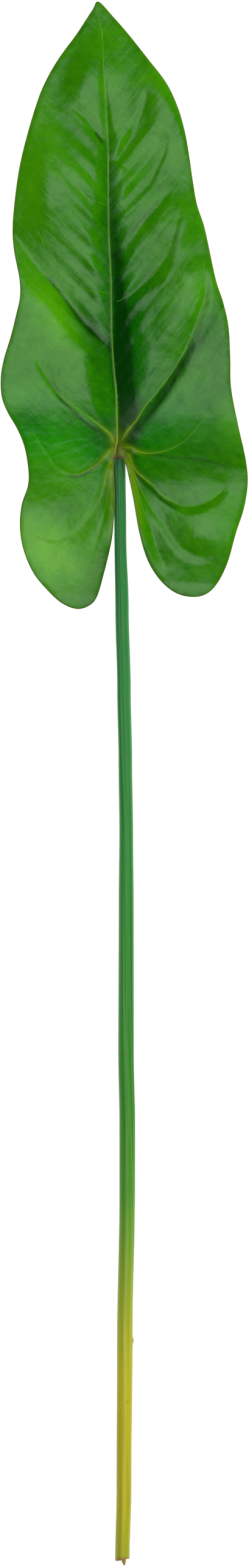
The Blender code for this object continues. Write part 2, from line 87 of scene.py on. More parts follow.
# The other veins, from the hub or the midrib outwards. Each is a path, how far its trough reaches on the left
# hand of that path and on the right hand, each at its start and its end, and how steep the shorter side is.
VEINS = {
    "left shoulder": (
        [(-8, 251), (-13.5, 255), (-18.5, 260), (-24, 265.5), (-29.5, 274), (-33.5, 279), (-37.5, 284.5),
         (-41.5, 288.5), (-49, 296), (-60, 311), (-74, 332)], (12, 13), (28, 24), 0.34),
    "left basal": (
        [(-6.5, 197), (-8, 200.5), (-11.5, 203.5), (-17.5, 208.5), (-28, 216), (-37, 222.5), (-43.5, 232),
         (-49.5, 241.5), (-52.5, 247)], (2.5, 3), (10, 8), 0.34),
    "left lateral": (
        [(-6.5, 192.5), (-10.5, 189), (-14.5, 185), (-20, 181), (-25.5, 178.5), (-30, 178), (-35, 180),
         (-40, 183.5), (-46.5, 193), (-52.5, 201)], (1.5, 1), (1.5, 1), 0.2),
    "left secondary": (
        [(-8.5, 281), (-13.5, 282.5), (-21.5, 283.5), (-28, 286), (-36, 290), (-39, 293), (-44.5, 304),
         (-49.5, 317.5), (-53.5, 324)], (1, 4), (1, 10), 0.2),
    "left upper": (
        [(-10, 332), (-14.5, 333.5), (-20, 335.5), (-25.5, 339.5), (-32, 345.5), (-39, 356.5), (-42.5, 367),
         (-44.5, 378)], (1, 1.5), (1, 1.5), 0.15),
    "upper left": (
        [(-10, 367), (-16, 373), (-19.5, 377.5), (-22, 382), (-26, 385.5), (-31, 389)], (3, 2), (8, 4), 0.34),
    "left lobe 1": (
        [(-8, 185), (-10.5, 178), (-13, 167.5), (-17.5, 158), (-23, 150), (-29.5, 142), (-33.5, 140),
         (-38.5, 138), (-44.5, 139), (-51, 143)], (8, 4), (4, 1.5), 0.25),
    "left lobe 2": (
        [(-7, 182), (-8.5, 171.5), (-10.5, 160.5), (-14, 147), (-17.5, 135), (-20, 126), (-22, 120)],
        (2, 2), (2, 1), 0.2),
    "right secondary": (
        [(-7, 275.5), (1, 279.5), (8, 284.5), (15, 290.5), (21.5, 298.5), (25.5, 306.5), (29.5, 320),
         (32.5, 332.5)], (20, 8), (8, 3), 0.3),
    "right furrow low": (
        [(-6, 303.5), (-1, 308), (7, 317.5), (15, 326.5), (21.5, 333.5), (27, 342)], (12, 5), (5, 2), 0.34),
    "right furrow high": (
        [(-7.5, 321), (-4, 325.5), (2, 331), (8, 337.5), (15, 345.5), (17.5, 351), (21.5, 359.5),
         (25.5, 374)], (10, 5), (3.5, 2), 0.32),
    "upper right": (
        [(-6.5, 355), (-2.5, 360.5), (0, 364.5), (4, 372.5), (9.5, 383.5), (12, 392), (13, 399)],
        (5, 3), (8, 8), 0.36),
    "right basal": (
        [(0.5, 200.5), (2, 203), (7, 209), (12, 217), (16.5, 222), (23, 230.5), (29, 239), (36, 252),
         (42.5, 268.5), (46.5, 282.5), (45, 300)], (20, 8), (9, 3), 0.34),
    "right lateral": (
        [(1, 193.5), (4, 193), (8, 191), (13.5, 190), (21.5, 191), (28.5, 193.5), (35, 197.5), (40.5, 203.5),
         (47.5, 212.5)], (2, 1.5), (2, 1), 0.25),
    "right fold": (
        [(9.5, 189), (28.5, 188.5), (44.5, 189), (55, 185), (66, 182), (76, 179)], (7, 6), (7, 6), 0.1),
    "right lobe 1": (
        [(2.5, 189), (4, 184.5), (7, 179.5), (11, 176), (16.5, 171.5), (21.5, 166), (28.5, 162),
         (36.5, 159.5), (46, 161.5), (52.5, 165.5), (58, 171.5), (61.5, 177)], (15, 15), (6, 4), 0.34),
    "right lobe 2": (
        [(4.5, 181), (8, 172.5), (12, 164.5), (16.5, 156.5), (23, 148.5), (29.5, 139), (35, 134), (43, 131),
         (54, 132)], (12, 12), (5, 5), 0.28),
    "right lobe 3": (
        [(4, 179.5), (7, 170), (11, 156.5), (15, 147), (17.5, 139), (20.5, 131), (26, 121)],
        (8, 8), (5, 5), 0.28),
}
VEIN_STARTS = 0.06           # shares of a vein's length over which its trough begins and ends
VEIN_ENDS = 0.15
MIDRIB_STOPS = (168, 198)    # the midrib's trough ends between these places along Y
print(len(OUTLINE), "points on the edge and", len(VEINS) + 1, "veins")

# %% The swellings and the way the blade lies, in millimetres
# The crest, the way the steep flank faces in degrees (0 is +X, 90 is +Y), the reach of the steep and gentle
# flanks, half the length, and the steepness.
SWELLS = {
    "left roll": ((-42, 346), 180, 15, 40, 30, 0.40),
    "tip": ((-20, 407), 160, 10.5, 15.5, 22, 0.40),
    "right roll": ((22, 392), 25, 10, 18, 24, 0.44),
    "right ridge": ((30, 318), -35, 12, 16, 18, 0.36),
    "right shoulder": ((40, 290), 90, 12, 20, 16, 0.3),
    "right cheek": ((30, 262), 60, 14, 14, 14, 0.2),
    "left lap": ((-8, 150), 180, 22, 22, 22, 0.17),
    "right lap": ((3, 165), 0, 9, 9, 24, 0.3),
    "right lobe": ((48, 146), -60, 20, 26, 22, 0.2),
}
# How high the blade's underside lies before its veins and swells, by place along Y, each side of the midrib.
LIE_LEFT = [
    (98, -1), (104, -0.6), (118, 0.9), (135, 1.4), (152, 1.2), (162, 2.4), (176, 6.2), (192, 10.8),
    (206, 14.8), (216, 17), (226, 17.8), (240, 17.8), (260, 17.4), (300, 16.4), (380, 14.5), (440, 11),
    (460, 10),
]
LIE_RIGHT = [
    (98, -1.8), (106, -1.5), (114, -0.6), (124, 0.8), (140, 2.5), (160, 3), (172, 3.8), (180, 6), (188, 9.6),
    (196, 13), (204, 15.8), (214, 17.6), (236, 18.6), (260, 18.6), (300, 17.8), (380, 15.5), (440, 11),
    (460, 10),
]
LIE_BLEND = 10               # how far from the midrib the two sides blend
# Side ribs run out from the midrib like a fishbone: spacing, height, how far out they reach, how fast they
# climb towards the tip on the right and on the left, and where they begin and end along the midrib.
RIB_SPACING = 14.4
RIB_HEIGHT = 0.6
RIB_REACH = 20
RIB_CLIMB = (1.15, 1.0)
RIB_STRETCH = (227, 370)
RIB_FADE = 21
# Small blisters in the skin: place, length, width, which way they run in degrees, and height.
BLISTERS = [
    ((23.5, 289), 9, 2.2, 52, 0.45), ((41, 196), 6, 2, 8, 0.5), ((33, 222), 7, 3, 40, 0.35),
    ((44, 232), 8, 3, 70, 0.35), ((50, 216), 6, 2.5, 80, 0.3), ((26, 205), 7, 3, 25, 0.3),
    ((41, 274), 12, 2.5, 65, 0.4),
]
BLADE_THICKNESS = 0.85
RIM_THICKNESS = 0.5
RIM_REACH = 2.5
HUB_CENTRE = (-3.5, 190)
HUB_HEIGHT = 8.6
HUB_BLEND = 6.0
print(len(SWELLS), "swellings and", len(BLISTERS), "blisters")

# %% [markdown]
# The stem is measured at a few places along its length: where its middle is and how thick it is there. A
# channel runs down its upper side and slowly winds round it, as on a real leaf stalk.

# %% The stem, in millimetres
# Centre line and radius by place along Y.
STEM = [
    (201, -3.6, 3.55), (186, -3.1, 3.65), (143, -2.4, 3.45), (101, -1.4, 3.9), (55, -0.3, 3.95),
    (13, 0.5, 3.95), (-28, 1, 4), (-70, 1, 4.35), (-154, 0.9, 4.5), (-196, 1.6, 4.55), (-238, 1.6, 4.55),
    (-322, 0.2, 4.55), (-406, -0.3, 4.35), (-446, -1.2, 4.2),
]
# The channel's place round the stem (0 is +X, 90 is up) and its depth, by place along Y.
CHANNEL = [
    (201, 112, 0.45), (136, 110, 0.5), (30, 104, 0.55), (-40, 85, 0.5), (-110, 76, 0.5), (-180, 58, 0.45),
    (-285, 5, 0.3), (-330, -20, 0), (-446, -20, 0),
]
STEM_RISE = 1.6
SOCKET_END = 201.0
HUB_END = 212.0
HUB_RADIUS = 4.75
HUB_END_RADIUS = 1.6
HUB_END_RISE = 2.2
FIT_GAP = 0.3


def softened(t):
    t = np.clip(t, 0, 1)
    return t * t * (3 - 2 * t)


def eased(at, rows, column):
    """The value of a column at each place along Y, moving softly from row to row."""
    rows = sorted(rows)
    places = [row[0] for row in rows]
    values = np.array([row[column] for row in rows], float)
    step = np.interp(at, places, np.arange(len(rows)))
    low = np.clip(np.floor(step).astype(int), 0, len(rows) - 2)
    return values[low] + (values[low + 1] - values[low]) * softened(step - low)


def stem_height(y):
    """The height of the stem's centre: its lowest side lies flat at the cut end and rises towards the hub."""
    return eased(y, STEM, 2) + STEM_RISE * softened((np.asarray(y, float) + 400) / 600)


# %% [markdown]
# Two helpers carry the drawing. One draws a smooth curve through a few points (a Catmull-Rom spline, walked
# at even steps). The other tells how far a place is from such a curve, on which side and how far along.

# %% Curves and distances
def smooth_line(points, step, closed=False):
    given = np.array(points, float)
    before, after = 2 * given[:1] - given[1:2], 2 * given[-1:] - given[-2:-1]
    ends = (given[-1:], given[:2]) if closed else (before, after)
    p = np.vstack([ends[0], given, ends[1]])
    fine = []
    for a, b, c, d in zip(p[:-3], p[1:-2], p[2:-1], p[3:]):
        t = np.linspace(0, 1, 12, endpoint=False)[:, None]
        bend = (2 * a - 5 * b + 4 * c - d) * t**2 + (3 * b - a - 3 * c + d) * t**3
        fine.append(b + 0.5 * ((c - a) * t + bend))
    fine.append(given[:1] if closed else given[-1:])
    fine = np.vstack(fine)
    run = np.concatenate([[0], np.cumsum(np.hypot(*np.diff(fine, axis=0).T))])
    count = max(2, round(run[-1] / step))
    stops = np.linspace(0, run[-1], count + 1)[: count if closed else None]
    return np.column_stack([np.interp(stops, run, fine[:, 0]), np.interp(stops, run, fine[:, 1])])


def nearest(xy, line):
    """Distance from the line, + on the right hand of its direction, and how far along it, 0 to 1."""
    best = np.full(len(xy), np.inf)
    side = np.ones(len(xy))
    along = np.zeros(len(xy))
    for i, (a, b) in enumerate(zip(line[:-1], line[1:])):
        d = b - a
        t = np.clip(((xy - a) @ d) / (d @ d), 0, 1)
        off = xy - a - t[:, None] * d
        far = np.hypot(*off.T)
        near = far < best
        best[near] = far[near]
        side[near] = np.where(off[:, 0] * d[1] - off[:, 1] * d[0] < 0, -1, 1)[near]
        along[near] = ((i + t) / (len(line) - 1))[near]
    return best * side, along


LINE_STEP = 3.0
midrib_line = smooth_line(MIDRIB, LINE_STEP)
vein_lines = {name: smooth_line(vein[0], LINE_STEP) for name, vein in VEINS.items()}
lie_lines = [smooth_line(rows, 2.0) for rows in (LIE_LEFT, LIE_RIGHT)]

# %% [markdown]
# The relief is a formula, so it can be read at any place and any fineness. Troughs are joined by adding their
# cubes and taking the cube root, which keeps the deeper one where two meet, with no seam. Fine ribs run out
# from the midrib like a fishbone: each is a ripple in the place where its line leaves the midrib.

# %% The blade's relief
BOTTOM_ROUNDING = 0.0008     # how softly a trough turns in its bottom and at its lip
LIP_ROUNDING = 0.03
RIB_STARTS = (2, 14)         # the side ribs grow to their height between these distances from the midrib
HUB_NARROWS = 4              # how far below the stem's end the hub begins to narrow
HUB_MOUTH = 186
HUB_SKIN = 0.2
HUB_JOIN = 0.8               # how softly the hub runs into the blade
FAR_BELOW = -100             # a height that never counts


def nearness(t):
    """1 on a vein, falling evenly to 0 at t = 1, with both corners rounded."""
    t = np.sqrt(t * t + BOTTOM_ROUNDING)
    return 0.5 * (1 - t + np.sqrt((1 - t) ** 2 + LIP_ROUNDING))


def from_hub(xy):
    return np.hypot(xy[:, 0] - HUB_CENTRE[0], xy[:, 1] - HUB_CENTRE[1])


def vein_depth(xy):
    join = 3.0
    away, _ = nearest(xy, midrib_line)
    left, right, steep = (eased(xy[:, 1], MIDRIB_TROUGH, column) for column in (1, 2, 3))
    # The midrib is drawn from the tip down, so its right hand is the leaf's left.
    trough = steep * right * nearness(np.abs(away) / np.where(away > 0, left, right))
    start, stop = MIDRIB_STOPS
    total = (trough * softened((xy[:, 1] - start) / (stop - start))) ** join
    for name, (path, lefts, rights, steep) in VEINS.items():
        away, along = nearest(xy, vein_lines[name])
        left, right = (first + (last - first) * along for first, last in (lefts, rights))
        trough = steep * np.minimum(left, right) * nearness(np.abs(away) / np.where(away < 0, left, right))
        total += (trough * softened(along / VEIN_STARTS) * softened((1 - along) / VEIN_ENDS)) ** join
    return total ** (1 / join)


def swell(xy, crest, faces, steep_reach, gentle_reach, half_length, steepness):
    turn = math.radians(faces)
    x, y = xy[:, 0] - crest[0], xy[:, 1] - crest[1]
    across = x * math.cos(turn) + y * math.sin(turn)
    along = y * math.cos(turn) - x * math.sin(turn)
    reach = np.where(across > 0, steep_reach, gentle_reach)
    # A bell curve of this height is as steep as stated at its steepest place.
    height = steepness * steep_reach * math.sqrt(math.e / 2)
    return height * np.exp(-((across / reach) ** 2) - (along / half_length) ** 2)


def oval(xy, centre, length, width, runs):
    """A bell over an oval patch: 1 in its middle."""
    turn = math.radians(runs)
    x, y = xy[:, 0] - centre[0], xy[:, 1] - centre[1]
    along = x * math.cos(turn) + y * math.sin(turn)
    across = y * math.cos(turn) - x * math.sin(turn)
    return np.exp(-((2 * along / length) ** 2) - (2 * across / width) ** 2)


def rib_place(xy):
    """Where a place's side rib leaves the midrib, along Y, and how far out the place is."""
    away, _ = nearest(xy, midrib_line)
    out = np.abs(away)
    return xy[:, 1] - np.where(away > 0, RIB_CLIMB[1], RIB_CLIMB[0]) * out, out


def ribs(xy):
    foot, out = rib_place(xy)
    start, grown = RIB_STARTS
    fade = softened((out - start) / (grown - start)) * np.exp(-((out / RIB_REACH) ** 2))
    stretch = softened((foot - RIB_STRETCH[0]) / RIB_FADE) * softened((RIB_STRETCH[1] - foot) / RIB_FADE)
    return RIB_HEIGHT * np.cos(2 * math.pi * foot / RIB_SPACING) * fade * stretch


def lie(xy):
    left, right = (np.interp(xy[:, 1], *line.T) for line in lie_lines)
    midrib_x = np.interp(xy[:, 1], *midrib_line[::-1].T[::-1])
    side = softened((xy[:, 0] - midrib_x + LIE_BLEND) / (2 * LIE_BLEND))
    return left + (right - left) * side


def tunnel(xy, gap, end, end_radius=None):
    """The height of a round tunnel along the stem, at the places over it, and far below elsewhere."""
    y = xy[:, 1]
    radius = eased(y, STEM, 2) + gap
    centre_height = stem_height(np.minimum(y, SOCKET_END))
    if end_radius is not None:
        t = softened((y - SOCKET_END + HUB_NARROWS) / (HUB_END - SOCKET_END + HUB_NARROWS))
        radius = HUB_RADIUS + (end_radius - HUB_RADIUS) * t + gap
        centre_height = centre_height + HUB_END_RISE * t
    off = xy[:, 0] - eased(np.minimum(y, SOCKET_END), STEM, 1)
    over = (np.abs(off) < radius) & (y < end)
    return np.where(over, centre_height + np.sqrt(np.maximum(radius**2 - off**2, 0)), FAR_BELOW)


def soft_maximum(a, b, blend):
    """Never less than either, so that the blade stays as thick as it should where the hub runs into it."""
    return 0.5 * (a + b + np.sqrt((a - b) ** 2 + blend**2))


def blade_heights(xy, rim_distance):
    """The heights of the blade's underside and upper side."""
    low = lie(xy) - vein_depth(xy) + ribs(xy)
    for place in SWELLS.values():
        low = low + swell(xy, *place)
    low = low + (HUB_HEIGHT - low) * np.exp(-((from_hub(xy) / HUB_BLEND) ** 2))
    low = np.maximum(low, tunnel(xy, FIT_GAP, SOCKET_END))
    for centre, length, width, runs, height in BLISTERS:
        low = low + height * oval(xy, centre, length, width, runs)
    low = np.maximum(low, 0)
    thickness = RIM_THICKNESS + (BLADE_THICKNESS - RIM_THICKNESS) * softened(rim_distance / RIM_REACH)
    hub_top = np.where(xy[:, 1] > HUB_MOUTH, tunnel(xy, HUB_SKIN, HUB_END, HUB_END_RADIUS), FAR_BELOW)
    return low, soft_maximum(low + thickness, hub_top, HUB_JOIN)


# %% [markdown]
# The blade's mesh is a Delaunay triangulation of its edge, its veins and an even grid between them, so that
# every trough has mesh edges along its bottom. The same triangles serve above and below, which keeps a waved
# sheet from crossing itself, and a strip joins the two round the edge.

# %% Triangulate the blade
MESH_STEP = 1.02
EDGE_ROW = 0.8               # how far inside the edge a second row of points runs
HUB_CLEAR_REACH = 5          # no mesh edges run along the veins nearer the hub's centre than this
CROWDED = 0.6 * MESH_STEP    # a point nearer than this to one already there is left out


def even_grid(low, high, step):
    rows = []
    for n, y in enumerate(np.arange(low[1], high[1], step * math.sqrt(3) / 2)):
        x = np.arange(low[0] + (n % 2) * step / 2, high[0], step)
        rows.append(np.column_stack([x, np.full(len(x), y)]))
    return np.vstack(rows)


def is_inside(xy, ring):
    inside = np.zeros(len(xy), bool)
    for a, b in zip(ring, np.roll(ring, -1, axis=0)):
        if a[1] == b[1]:
            continue
        spans = (a[1] > xy[:, 1]) != (b[1] > xy[:, 1])
        cross = (b[0] - a[0]) * (xy[:, 1] - a[1]) / (b[1] - a[1]) + a[0]
        inside ^= spans & (xy[:, 0] < cross)
    return inside


def near_points(xy, others, reach):
    tree = kdtree.KDTree(len(others))
    for i, p in enumerate(others):
        tree.insert((p[0], p[1], 0), i)
    tree.balance()
    return np.array([tree.find((p[0], p[1], 0))[2] < reach for p in xy])


def blade_triangles():
    rim = smooth_line(OUTLINE, MESH_STEP, closed=True)
    coarse_rim = smooth_line(OUTLINE, LINE_STEP, closed=True)
    closed_rim = np.vstack([rim, rim[:1]])
    edges = [(i, (i + 1) % len(rim)) for i in range(len(rim))]
    # A row of points just inside the edge, which the rim runs round with the leaf on its right hand.
    run = np.roll(rim, -1, axis=0) - np.roll(rim, 1, axis=0)
    inner = rim + EDGE_ROW * np.column_stack([run[:, 1], -run[:, 0]]) / np.hypot(*run.T)[:, None]
    inner = inner[np.abs(nearest(inner, closed_rim)[0]) > 0.95 * EDGE_ROW]
    fixed = np.vstack([rim, inner])
    for path in [MIDRIB] + [vein[0] for vein in VEINS.values()]:
        line = smooth_line(path, MESH_STEP)
        line = line[is_inside(line, coarse_rim) & (np.abs(nearest(line, closed_rim)[0]) > 2 * MESH_STEP)]
        line = line[from_hub(line) > HUB_CLEAR_REACH]
        line = line[~near_points(line, fixed, CROWDED)]
        joined = np.hypot(*np.diff(line, axis=0).T) < 1.5 * MESH_STEP
        edges += [(len(fixed) + i, len(fixed) + i + 1) for i in np.flatnonzero(joined)]
        fixed = np.vstack([fixed, line])
    loose = even_grid(rim.min(axis=0), rim.max(axis=0), MESH_STEP)
    loose = loose[is_inside(loose, coarse_rim)]
    loose = loose[~near_points(loose, fixed, CROWDED)]
    every = [Vector(p) for p in np.vstack([fixed, loose])]
    corners, _, faces, *_ = delaunay_2d_cdt(every, edges, [], 0, 1e-5, False)
    xy = np.array([tuple(p) for p in corners])
    faces = np.array([tuple(face) for face in faces])
    return xy, faces[is_inside(xy[faces].mean(axis=1), rim)], closed_rim


blade_xy, blade_faces, closed_rim = blade_triangles()
print(len(blade_xy), "points and", len(blade_faces), "triangles on each side of the blade")

# %% [markdown]
# What the finish needs to know about a place is written on its vertices: how near it is to the edge, the hub,
# a pale band, the painted shadow where the stem goes in under the hub and the painted shade along a fold,
# whether it is the underside, how light it is (the leaf's own tone, with painted shade in the troughs), how
# pure a green and how dull the leaf grew there. Two more attributes lay the place out along the side ribs and
# round the hub, so that streaks can follow the way the tissue grew.

# %% Marks for the finish
SINUS_BANDS = [
    [(-2, 189), (2.6, 180), (5.6, 168), (8.3, 152), (12, 136)],
    [(-5, 189), (-7.2, 180), (-6.9, 168), (-7.3, 152), (-9.5, 138)],
]
HUB_VEINS = ["left basal", "left lateral", "left lobe 1", "right basal", "right lateral", "right lobe 1"]
# Painted shadow: a dark brown arch where the stem goes in under the hub.
MOUTH_SHADOW_LINE = [(-6.3, 187.2), (-4.6, 188), (-2.4, 188), (-0.6, 187.2)]
# Painted shade: dark lines along the sharp folds beside the veins.
SHADED_CREASES = [  # how dark, and the path
    (0.85, [(-4.2, 200), (-4.1, 194), (-4.2, 187.5)]),
    (0.85, [(-8, 199), (-13, 201.5), (-20, 206), (-28, 212.5), (-35.5, 219.5), (-40, 227), (-46, 237)]),
    (0.85, [(5, 203), (10, 206), (15.5, 213), (24, 224), (32, 238), (38, 252)]),
    (0.75, [(-9, 250), (-18, 258.5), (-24, 264), (-30, 272.5), (-36, 281), (-48, 296)]),
    (0.65, [(-12, 187.5), (-20, 180), (-27, 176.5), (-35, 178)]),
    (0.75, [(3, 186), (9, 176), (16, 169), (25, 161), (34, 157)]),
    (0.80, [(-17.5, 375), (-14.5, 370.5), (-11.5, 366.5)]),
    (0.45, [(-2, 311), (6, 320), (12, 326), (17, 331.5), (21.5, 336.5)]),
    (0.45, [(6, 190), (17, 189), (28, 187.5), (44, 186.5), (56, 183), (66, 180)]),
]
# Where the leaf is lighter (+) or darker (-): its own paler and darker patches, and painted shade in the
# troughs beside the midrib and the veins and across the right side; centre, length, width, which way the
# patch runs in degrees.
TONE_AND_PAINTED_SHADE = [
    ((-43, 270), 60, 20, 118, 0.30), ((-44, 134), 52, 32, 125, 0.46), ((-60, 224), 22, 14, 20, 0.16),
    ((45, 148), 50, 34, 60, 0.16), ((41, 286), 26, 20, 70, 0.22), ((15, 398), 44, 16, 110, 0.12),
    ((62, 204), 30, 18, 100, 0.20), ((-40, 186), 50, 34, 130, 0.20), ((36, 172), 30, 20, 0, 0.12),
    ((-52, 352), 60, 24, 80, 0.16), ((-22, 140), 40, 20, 100, 0.12), ((-54, 208), 34, 14, 170, -0.16),
    ((-1, 240), 90, 11, 94, -0.50), ((3, 214), 36, 12, 100, -0.28), ((-5, 310), 110, 8, 95, -0.30),
    ((-12, 196), 20, 10, 150, -0.15), ((9, 176), 26, 12, 130, -0.20), ((30, 236), 66, 6, 56, -0.34),
    ((-20, 262), 50, 5, 138, -0.25), ((8, 270), 40, 16, 60, -0.16), ((-12, 300), 90, 10, 92, -0.12),
    ((42, 200), 200, 66, 90, -0.13), ((-15, 238), 96, 18, 97, -0.26), ((4, 250), 120, 24, 92, -0.14),
]
# Where the green has no yellow in it: centre, length, width, which way the patch runs in degrees.
LUSH = [
    ((-48, 202), 60, 40, 160), ((14, 204), 70, 40, 20), ((2, 250), 110, 26, 96), ((-20, 195), 50, 34, 150),
]
# Where the skin is less polished, in the same way.
MATT = [((5, 206), 30, 20, 60), ((46, 197), 66, 26, 0)]
# How far each mark reaches to the sides.
EDGE_REACH = 0.55
BAND_REACHES = (3.0, 1.6)    # at its start and its end
HUB_VEIN_REACH = 1.5
HUB_VEIN_LENGTH = 18         # how far from the hub's centre a vein's pale band reaches
SPOT_REACHES = (4.2, 10, 6)  # the olive spot's, to the sides, up and down
MOUTH_SHADOW_REACH = 1.1
CREASE_REACH = 0.9
CREASE_ENDS = 0.2            # share of a crease's length over which it begins and ends
BAND_STRENGTH = 0.8
# The streaks below the hub run round a centre this far above the hub's own.
LOBE_CENTRE_RISE = 12
LOBE_TURN = 45               # millimetres along the streak pattern for each radian round that centre
LOBE_SLANT = 0.35            # how the border between the two patterns climbs away from the hub
LOBE_FADE = 24               # how wide that border is


def gauss(distance, reach):
    return np.exp(-((distance / reach) ** 2))


def surface_marks(xy, rim_distance):
    bands = np.zeros(len(xy))
    for path in SINUS_BANDS:
        away, along = nearest(xy, smooth_line(path, LINE_STEP))
        reach = BAND_REACHES[0] - (BAND_REACHES[0] - BAND_REACHES[1]) * along
        bands = np.maximum(bands, gauss(away, reach) * (1 - along) ** 0.7)
    for name in HUB_VEINS:
        away, _ = nearest(xy, vein_lines[name])
        bands = np.maximum(bands, gauss(away, HUB_VEIN_REACH) * gauss(from_hub(xy), HUB_VEIN_LENGTH))
    x, y = xy[:, 0] - HUB_CENTRE[0], xy[:, 1] - HUB_CENTRE[1]
    sideways, up, down = SPOT_REACHES
    spot = gauss(np.hypot(x / sideways, y / np.where(y > 0, up, down)), 1)
    mouth_shadow = gauss(nearest(xy, smooth_line(MOUTH_SHADOW_LINE, 1.0))[0], MOUTH_SHADOW_REACH)
    crease_shade = np.zeros(len(xy))
    for dark, path in SHADED_CREASES:
        away, along = nearest(xy, smooth_line(path, LINE_STEP))
        ends = softened(along / CREASE_ENDS) * softened((1 - along) / CREASE_ENDS)
        crease_shade = np.maximum(crease_shade, dark * gauss(away, CREASE_REACH) * ends)
    # The leaf's own lighter and darker patches, together with painted shade in the troughs.
    shade = sum(amount * oval(xy, *place) for *place, amount in TONE_AND_PAINTED_SHADE)
    lush = np.max([oval(xy, *place) for place in LUSH], axis=0)
    matt = np.max([spot] + [oval(xy, *place) for place in MATT], axis=0)
    return {"edge": gauss(rim_distance, EDGE_REACH), "hub": spot, "bands": BAND_STRENGTH * bands,
            "mouth_shadow": mouth_shadow, "crease_shade": crease_shade, "shade": shade, "lush": lush, "matt": matt}


def growth_places(xy):
    """Places laid out along the side ribs above the hub, and round the hub below it, in metres."""
    foot, out = rib_place(xy)
    x, below = xy[:, 0] - HUB_CENTRE[0], HUB_CENTRE[1] + LOBE_CENTRE_RISE - xy[:, 1]
    angle = np.arctan2(x, below)
    lobe = softened((from_hub(xy) * LOBE_SLANT + below) / LOBE_FADE)
    flat = np.zeros(len(xy))
    return {"ribwise": np.column_stack([foot, out, flat]) * MM,
            "lobewise": np.column_stack([angle * LOBE_TURN, np.hypot(x, below), flat]) * MM}, lobe


# %% Build the blade
def placed(name, data):
    """A new object in the scene."""
    obj = bpy.data.objects.new(name, data)
    bpy.context.scene.collection.objects.link(obj)
    return obj


def write_mark(mesh, name, values):
    mesh.attributes.new(name, "FLOAT", "POINT").data.foreach_set("value", values.astype(np.float32))


def make_blade():
    rim_distance = np.abs(nearest(blade_xy, closed_rim)[0])
    low, high = blade_heights(blade_xy, rim_distance)
    marks = surface_marks(blade_xy, rim_distance)
    places, marks["lobe"] = growth_places(blade_xy)
    n = len(blade_xy)
    points = np.vstack([np.column_stack([blade_xy, high]), np.column_stack([blade_xy, low])]) * MM
    over = [tuple(face) for face in blade_faces]
    under = [tuple(face[::-1] + n) for face in blade_faces]
    sides = np.vstack([blade_faces[:, [0, 1]], blade_faces[:, [1, 2]], blade_faces[:, [2, 0]]])
    known = {tuple(side) for side in sides}
    strip = [(b, a, a + n, b + n) for a, b in known if (b, a) not in known]
    mesh = bpy.data.meshes.new("leaf_blade")
    mesh.from_pydata([tuple(p) for p in points], [], over + under + strip)
    marks = {name: np.tile(values, 2) for name, values in marks.items()}
    marks["under"] = np.repeat([0.0, 1.0], n)
    for name, values in marks.items():
        write_mark(mesh, name, values)
    for name, values in places.items():
        both = np.tile(values, (2, 1)).astype(np.float32).ravel()
        mesh.attributes.new(name, "FLOAT_VECTOR", "POINT").data.foreach_set("vector", both)
    mesh.shade_smooth()
    return placed("leaf_blade", mesh)


blade = make_blade()
print("blade:", len(blade.data.polygons), "faces")

# %% [markdown]
# Shaders are built with a few one-line helpers, so that each finish reads as a recipe.

